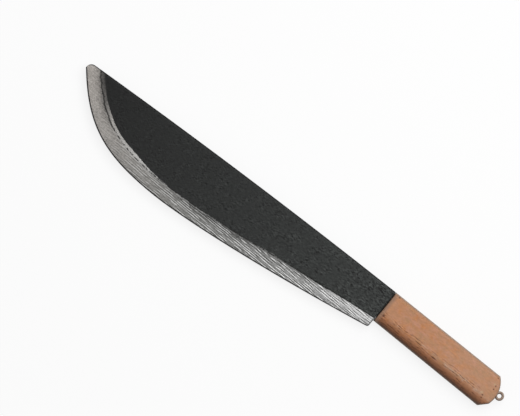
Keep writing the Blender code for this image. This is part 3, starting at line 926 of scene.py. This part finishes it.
def knotTone(x, y):  # sum of the knots at a point
    tone = 0
    for along, across, radius, strength in scale["knots"]:
        gap = math.hypot(x - heelX - along, y - across)
        tone += strength * (1 - float(smoothStep(gap, 0, radius)))
    return tone


def makeScale(name, node, side, paint):
    inset = seam["rimWidth"]
    xs = scaleColumns(inset)
    ys, zs = scaleSections(xs, inset)
    bm, guide, spots = gridOf(len(xs), ys.shape[1])  # guide holds groove, turn of the grip, knot
    turns = np.arcsin(gripInto(xs[:, None], ys, inset) / scale["gripWidth"]) / (math.pi / 2)
    fades = smoothStep(heelX + scale["grainEnd"] - xs, -scale["grainFade"] / 2, scale["grainFade"] / 2)
    for v, (i, j) in spots.items():
        x, y, z = float(xs[i]), float(ys[i, j]), float(zs[i, j])
        turn = float(turns[i, j])
        around = scale["gripWidth"] * turn * scale["grainWrap"]
        line = grain(x, y - around, scale["grainSeed"] * side, scale["grain"])
        cut = smoothStep(line, *scale["grainCut"]) * smoothStep(-y, *scale["grainSide"])
        groove = float(cut * fades[i])
        knot = knotTone(x, y) if side > 0 else 0
        fall = scale["grainDepth"] * groove + scale["knotDepth"] * max(knot, 0)
        v.co = (x, axisY + y, partZ + side * (z - fall))
        v[guide] = (groove, turn, knot)
    closeDown(bm, partZ + side * seatHeight)
    if side < 0:
        for screwX in scale["screwXs"]:
            sinkRecess(bm, screwX)
    finishPiece(name, bm, paint, node, scale["sharpAngle"])


def sinkRecess(bm, screwX):  # round pocket for a screw's head, sunk from the rear face
    middle = Vector((screwX, axisY))
    radius = scale["recessRadius"]
    face = [v for v in bm.verts if abs(v.co.z - rearFaceZ) < scale["faceReach"]]
    inside = {v for v in face if (v.co.xy - middle).length < radius * scale["recessCatch"]}
    gone = {f for v in inside for f in v.link_faces}
    bmesh.ops.delete(bm, geom=list(gone), context="FACES")
    for v in {v for e in borderOf(bm) for v in e.verts}:
        v.co.xy = middle + (v.co.xy - middle).normalized() * radius
        v.co.z = rearFaceZ
    closeDown(bm, rearFaceZ + scale["recessDepth"])


scalePaint = {
    "brown": srgb(174, 126, 94),
    "umber": srgb(168, 104, 64),
    # painted shade on the grip's lower round
    "gripShade": srgb(74, 44, 28),
    "grain": srgb(66, 38, 25),
    "pale": srgb(180, 154, 134),
    "frontEdge": srgb(139, 109, 90),
    "stain": srgb(66, 30, 20),
    "chip": srgb(178, 156, 124),
    # painted greyish shade on the spine-side round and at the butt's end
    "greyShade": srgb(150, 117, 95),
    # painted shade in the gap before the scale
    "gap": srgb(60, 47, 39),
    "blotches": (  # size, limits of the pattern, weight, and orange, pink or olive
        (0.009, (0.4, 0.7), 1, srgb(180, 122, 80)),
        (0.006, (0.45, 0.75), 1, srgb(182, 132, 108)),
        (0.014, (0.5, 0.75), 0.7, srgb(160, 124, 90)),
    ),
    "blotchFlat": 0.7,  # a blotch's width to its length
    "blotchDetail": (4, 0.6),
    "specular": 0.2,
    "bumpDepth": 0.00015,
    "bumpStrength": 0.5,
    "zones": {  # metres from the blade's end
        "rear": (0.04, 0.11),
        "offFront": (0.0022, 0.0062),
        "offGap": (0.0009, 0.0013),
        "buttShade": (0.138, 0.1448),
    },
    "gripZones": {  # turn of the grip, from the flat, 0, to the lower side, 1
        "umber": (0.05, 0.45),
        "wornStart": (0.0, 0.06),
        "wornEnd": (0.1, 0.3),
    },
    "patterns": {  # turn in degrees, size in metres, detail, roughness
        "streaks": (0, (0.012, 0.0006, 0.012), 3),
        "dashes": (0, (0.005, 0.0015, 0.005), 2),
        "fine": (0, (0.0030, 0.0015, 0.002), 4, 0.65),
    },
    "limits": {  # values between which something sets in
        "gripShade": (-0.05, 0.9),
        "worn": (1.08, 1.3),
        "dashes": (0.42, 0.62),
        "spineShade": (0.0145, 0.0172),  # metres from the axis towards the spine, where the painted shade on the spine-side round sets in
    },
    "amounts": {  # one everywhere, then what the fine pattern adds
        "tone": (0.69, 0.62),
        "rough": (0.52, 0.2),
    },
    "weights": {
        "rearPale": 0.16,
        "umber": 0.5,
        "gripShadeStreaks": 0.45,
        "gripShade": 0.94,
        "rearWorn": 0.14,
        "worn": 0.7,
        "grain": 0.9,
        "frontEdge": 0.9,
        "spineShade": 0.4,
        "buttShade": 0.35,
        "fineRelief": 0.7,
        "streakRelief": 0.6,
    },
}


def paintScale(name, seed):
    paint, bench = newPaint(name, scalePaint)
    place = bench.place()
    x = bench.part(place, "X") - heelX
    guide = bench.guide()
    groove = bench.part(guide, "X")
    turn = bench.part(guide, "Y")
    knot = bench.part(guide, "Z")
    zone = bench.spans(x, scalePaint["zones"])
    grip = bench.spans(turn, scalePaint["gripZones"])
    spot = bench.patterns(place)
    weights = scalePaint["weights"]
    fine = spot["fine"]
    streaks = spot["streaks"] - 0.5
    # browns in blotches, paler towards the butt and warmer on the rounded side
    colour = scalePaint["brown"]
    blotches = []
    for size, ends, weight, tint in scalePaint["blotches"]:
        laid = (size, size * scalePaint["blotchFlat"], size)
        blotches.append(bench.pattern(place, seed, laid, *scalePaint["blotchDetail"]))
        colour = bench.mix(bench.span(blotches[-1], *ends) * weight, colour, tint)
    colour = bench.mix(zone["rear"] * weights["rearPale"], colour, scalePaint["pale"])
    colour = bench.mix(grip["umber"] * weights["umber"], colour, scalePaint["umber"])
    # painted shade that deepens round the grip towards the lower side, streaked along the grain, worn
    # paler where the round begins
    gripShade = bench.limit(turn + streaks * weights["gripShadeStreaks"], "gripShade")
    colour = bench.mix(gripShade * weights["gripShade"], colour, scalePaint["gripShade"])
    worn = blotches[1] + spot["streaks"] + weights["rearWorn"] * zone["rear"]
    worn = bench.limit(worn, "worn") * grip["wornStart"] * (1 - grip["wornEnd"])
    colour = bench.mix(worn * weights["worn"], colour, scalePaint["pale"])
    grooved = groove * bench.limit(spot["dashes"], "dashes")
    colour = bench.mix(grooved * weights["grain"], colour, scalePaint["grain"])
    # dull edge at the front, painted shade in the gap before it
    front = (1 - zone["offFront"]) * weights["frontEdge"]
    colour = bench.mix(front, colour, scalePaint["frontEdge"])
    colour = bench.mix(1 - zone["offGap"], colour, scalePaint["gap"])
    # painted greyish shade on the spine-side round and at the butt's end, dark knots and paler chips
    greyShaded = bench.limit(bench.part(place, "Y") - axisY, "spineShade") * weights["spineShade"]
    greyShaded = greyShaded + zone["buttShade"] * weights["buttShade"]
    colour = bench.mix(greyShaded, colour, scalePaint["greyShade"])
    colour = bench.mix(knot, colour, scalePaint["stain"])
    colour = bench.mix(0 - knot, colour, scalePaint["chip"])
    colour = bench.shade(colour, bench.amount("tone", fine))
    relief = (fine - 0.5) * weights["fineRelief"] + streaks * weights["streakRelief"] * turn
    finishPaint(bench, relief, {
        "Base Color": colour,
        "Roughness": bench.amount("rough", fine),
    })
    return paint


makeScale("scale_front", "handle_scale_front", 1, paintScale("scale_front_paint", 0))
makeScale("scale_rear", "handle_scale_rear", -1, paintScale("scale_rear_paint", 40))


# hanging eye

eye = {
    "holeRadius": 0.0021,
    "outerRadius": 0.0049,
    "ringSteps": 64,
    "sectionSteps": 20,
    "squareness": 0.95,  # 1 gives the ring a round section, less a boxier one
    "stemHalf": 0.00355,
    "stemGap": 0.0006,  # stem's end to the hole
    "barLength": 0.004,
    "edgeRound": 0.0007,
    "bevelSteps": 3,
    "sharpAngle": 45,
    "colour": srgb(160, 141, 127),
    "shadeColour": srgb(120, 100, 84),
    # colour and weight of the painted shade where the ring's section turns away from the spine side
    "awayShade": srgb(78, 60, 48),
    "grimeAndShade": 0.85,
    "specular": 0.35,
    "bumpDepth": 0.0001,
    "bumpStrength": 0.4,
    "patterns": {  # turn in degrees, size in metres, detail
        "mottle": (0, (0.002, 0.002, 0.002), 3),
        "fine": (0, (0.0006, 0.0006, 0.0006), 2),
    },
    "limits": {"shade": (0.35, 0.8), "grimeAndShade": (-0.15, 0.35)},
    "amounts": {"rough": (0.45, 0.2)},
}
ringX = eyeHigh.x - eye["outerRadius"]
ringMean = (eye["holeRadius"] + eye["outerRadius"]) / 2
ringWide = (eye["outerRadius"] - eye["holeRadius"]) / 2


def makeEye():
    bm = bmesh.new()
    middle = Vector((ringX, eyeY, partZ))
    tall = (eyeHigh.z - eyeLow.z) / 2
    section = []
    for turn in np.linspace(0, 2 * math.pi, eye["sectionSteps"], endpoint=False):
        out = abs(math.cos(turn)) ** eye["squareness"] * math.copysign(ringWide, math.cos(turn))
        up = abs(math.sin(turn)) ** eye["squareness"] * math.copysign(tall, math.sin(turn))
        section.append(bm.verts.new(middle + Vector((ringMean + out, 0, up))))
    loop = [bm.edges.new((a, b)) for a, b in zip(section, section[1:] + section[:1])]
    bmesh.ops.spin(
        bm,
        geom=section + loop,
        cent=middle,
        axis=(0, 0, 1),
        angle=2 * math.pi,
        steps=eye["ringSteps"],
        use_merge=True,
    )
    barX = eyeLow.x + eye["barLength"]
    stemEnd = ringX - eye["holeRadius"] - eye["stemGap"]
    half = (eyeHigh.y - eyeLow.y) / 2
    side = [(eyeLow.x, half), (barX, half), (barX, eye["stemHalf"]), (stemEnd, eye["stemHalf"])]
    outline = [(x, eyeY + y) for x, y in side] + [(x, eyeY - y) for x, y in reversed(side)]
    base, raised = raisePlate(bm, outline, eyeLow.z, eyeHigh.z - eyeLow.z)
    stem = {e for v in vertsOf(raised) for e in v.link_edges} | set(base.edges)
    roundEdges(bm, list(stem), eye["edgeRound"], eye["bevelSteps"])
    finishPiece("hanging_eye", bm, paintEye(), "hang_eye", eye["sharpAngle"])


def paintEye():
    paint, bench = newPaint("eye_paint", eye)
    place = bench.place()
    spot = bench.patterns(place)
    colour = bench.mix(bench.limit(spot["mottle"], "shade"), eye["colour"], eye["shadeColour"])
    offX = bench.part(place, "X") - ringX
    offY = bench.part(place, "Y") - eyeY
    # painted shade where the ring's round section turns away from the spine side
    outward = (offX * offX + offY * offY - ringMean**2) / (2 * ringMean * ringWide)
    away = (0 - offY) * outward / ringMean
    colour = bench.mix(bench.limit(away, "grimeAndShade") * eye["grimeAndShade"], colour, eye["awayShade"])
    finishPaint(bench, spot["fine"], {
        "Base Color": colour,
        "Roughness": bench.amount("rough", spot["mottle"]),
    })
    return paint


makeEye()


# screws in the rear scale

screw = {
    "headRadius": 0.0029,
    "shoulderRadius": 0.002697,
    "crownRadius": 0.0022,
    "crownFall": 0.00005,  # this and the next two are depths below the top of the head
    "shoulderFall": 0.0003,
    "rimFall": 0.001,
    "headHeight": 0.002,
    "shaftRadius": 0.0013,
    "pointRadius": 0.000325,
    "pointStart": 0.85,  # share of the length
    "slotHalf": 0.0017,
    "slotWidth": 0.0008,
    "slotDepth": 0.0012,
    "slotTaper": 0.6,
    "slotCuts": 3,
    "sharpAngle": 35,
    "steel": srgb(150, 150, 152),
    "dull": srgb(108, 108, 110),
    # painted shade in the cross slot and round the head's sides
    "grimeAndShade": srgb(38, 34, 31),
    "recessShadeWeight": 0.9,
    "specular": 0.5,
    "bumpDepth": 0.00003,
    "bumpStrength": 0.5,
    "patterns": {  # turn in degrees, size in metres, detail
        "brushed": (20, (0.0015, 0.0001, 0.001), 2),
        "spots": (0, (0.0016, 0.0016, 0.0016), 3),
    },
    "limits": {"dull": (0.45, 0.75), "grimeAndShade": (0.0002, 0.0009)},  # painted shade by depth below the head's top
    "amounts": {"metal": (1, -0.7), "rough": (0.36, 0.2)},
}


def sinkSlot(bm):  # round plate with a cross sunk into it
    bmesh.ops.create_grid(bm, x_segments=3, y_segments=3, size=1)
    for v in bm.verts:  # three strips each way, with the slot between the points at a third
        for k in (0, 1):
            size = screw["slotHalf"] if abs(v.co[k]) > 0.9 else screw["slotWidth"] / 2
            v.co[k] = math.copysign(size, v.co[k])
        if v.co.xy.length > 1.2 * screw["slotHalf"]:
            v.co.xy = v.co.xy.normalized() * screw["slotHalf"]  # corners drawn in to a round
    cross = [f for f in bm.faces if min(abs(c) for c in f.calc_center_median().xy) < seam["tolerance"]]
    sunk = bmesh.ops.extrude_face_region(bm, geom=cross)["geom"]
    bmesh.ops.delete(bm, geom=cross, context="FACES")
    bottom = vertsOf(sunk)
    bmesh.ops.translate(bm, verts=bottom, vec=(0, 0, screw["slotDepth"]))
    bmesh.ops.scale(bm, verts=bottom, vec=(screw["slotTaper"], screw["slotTaper"], 1))
    bmesh.ops.subdivide_edges(bm, edges=borderOf(bm), cuts=screw["slotCuts"])


def makeScrew(name, node, turn):
    low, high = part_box(node)
    length = high.z - low.z
    bm = bmesh.new()
    sinkSlot(bm)
    rings = [
        (screw["crownRadius"], screw["crownFall"]),
        (screw["shoulderRadius"], screw["shoulderFall"]),
        (screw["headRadius"], screw["rimFall"]),
        (screw["headRadius"], screw["headHeight"]),
        (screw["shaftRadius"], screw["headHeight"]),
        (screw["shaftRadius"], length * screw["pointStart"]),
        (screw["pointRadius"], length),
    ]
    for radius, depth in rings:
        made = bmesh.ops.extrude_edge_only(bm, edges=borderOf(bm))["geom"]
        for v in vertsOf(made):
            out = v.co.xy.normalized() * radius
            v.co = (out.x, out.y, depth)
    bmesh.ops.edgeloop_fill(bm, edges=borderOf(bm))
    spun = Matrix.Rotation(math.radians(turn), 3, "Z")
    bmesh.ops.rotate(bm, verts=bm.verts, cent=(0, 0, 0), matrix=spun)
    bmesh.ops.translate(bm, verts=bm.verts, vec=((low.x + high.x) / 2, (low.y + high.y) / 2, low.z))
    finishPiece(name, bm, screwPaint, node, screw["sharpAngle"])


def paintScrew():
    paint, bench = newPaint("screw_paint", screw)
    place = bench.place()
    spot = bench.patterns(place)
    colour = bench.mix(bench.limit(spot["spots"], "dull"), screw["steel"], screw["dull"])
    # painted shade, darker deeper down, in the cross slot and the recess round the head
    sunk = bench.limit(bench.part(place, "Z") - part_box("handle_screw_front")[0].z, "grimeAndShade")
    finishPaint(bench, spot["brushed"], {
        "Base Color": bench.mix(sunk * screw["recessShadeWeight"], colour, screw["grimeAndShade"]),
        "Metallic": bench.amount("metal", sunk),
        "Roughness": bench.amount("rough", spot["brushed"]),
    })
    return paint


screwPaint = paintScrew()
makeScrew("screw_front", "handle_screw_front", 12)
makeScrew("screw_middle", "handle_screw_middle", 51)
makeScrew("screw_butt", "handle_screw_butt", 78)
